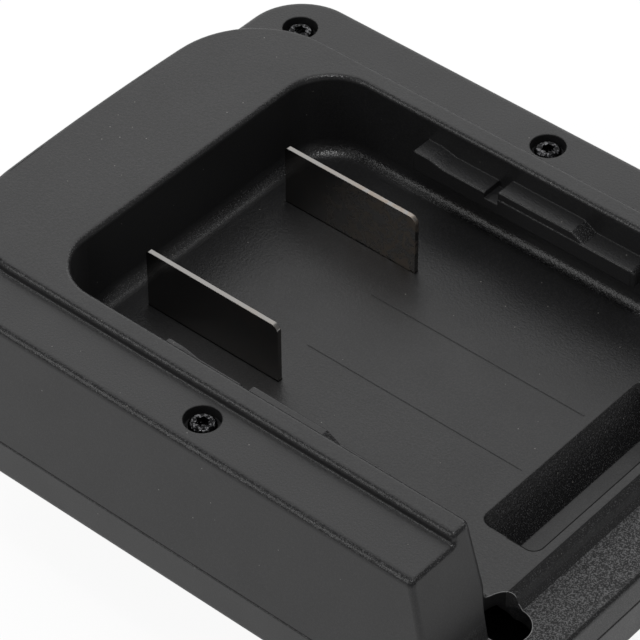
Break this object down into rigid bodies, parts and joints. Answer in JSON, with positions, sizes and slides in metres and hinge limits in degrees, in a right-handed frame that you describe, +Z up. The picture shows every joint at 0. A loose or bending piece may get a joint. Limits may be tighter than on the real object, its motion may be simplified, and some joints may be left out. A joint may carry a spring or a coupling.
{
  "type": "tool battery adapter",
  "caption": "Black slide-on battery adapter: an open pocket with rails and upright blades takes a battery, and a railed foot with a spring latch slides into a tool.",
  "frame": {"origin": "centre of the box round the part, at its base, which is on the foot's flat face", "axes": "+X along the slide towards the pocket's open end, +Y across, +Z up out of the pocket"},
  "size_m": [0.118, 0.0938, 0.0481],
  "materials": {
    "housing_plastic": "black glass-filled nylon, satin spark-eroded texture",
    "cover_plastic": "black glass-filled nylon, satin spark-eroded texture",
    "latch_plastic": "black acetal, satin",
    "insulator_plastic": "dark grey glass-filled polyester, matt",
    "black_screw": "black oxide, satin",
    "zinc_screw": "zinc plated, clear",
    "blade_metal": "nickel-plated copper alloy, stamped, lightly worn",
    "clip_metal": "spring bronze, bright",
    "terminal_metal": "tin-plated copper, crimped",
    "spring_metal": "drawn spring wire, bright",
    "wire_red": "silicone insulation, satin",
    "wire_black": "silicone insulation, satin"
  },
  "bodies": {
    "housing": {"upper_housing": "housing_plastic", "lower_cover": "cover_plastic", "housing_screws": "black_screw", "blade_carrier": "insulator_plastic", "carrier_screws": "zinc_screw", "contact_block": "insulator_plastic", "block_screws": "zinc_screw", "blade_positive": "blade_metal", "blade_negative": "blade_metal", "clip_positive": "clip_metal", "clip_negative": "clip_metal", "wire_positive": "wire_red", "wire_negative": "wire_black", "blade_terminal_positive": "terminal_metal", "blade_terminal_negative": "terminal_metal", "clip_terminal_positive": "terminal_metal", "clip_terminal_negative": "terminal_metal", "latch_spring_left": "spring_metal", "latch_spring_right": "spring_metal"},
    "latch": {"latch_slide": "latch_plastic"}
  },
  "joints": [
    {"name": "latch_press", "type": "slide", "parent": "housing", "child": "latch", "axis": [0, 0, 1], "range_m": [0, 0.0032], "stiffness_N_per_m": 1100, "springref_m": -0.003, "deforming": ["latch_spring_left", "latch_spring_right"]}
  ]
}
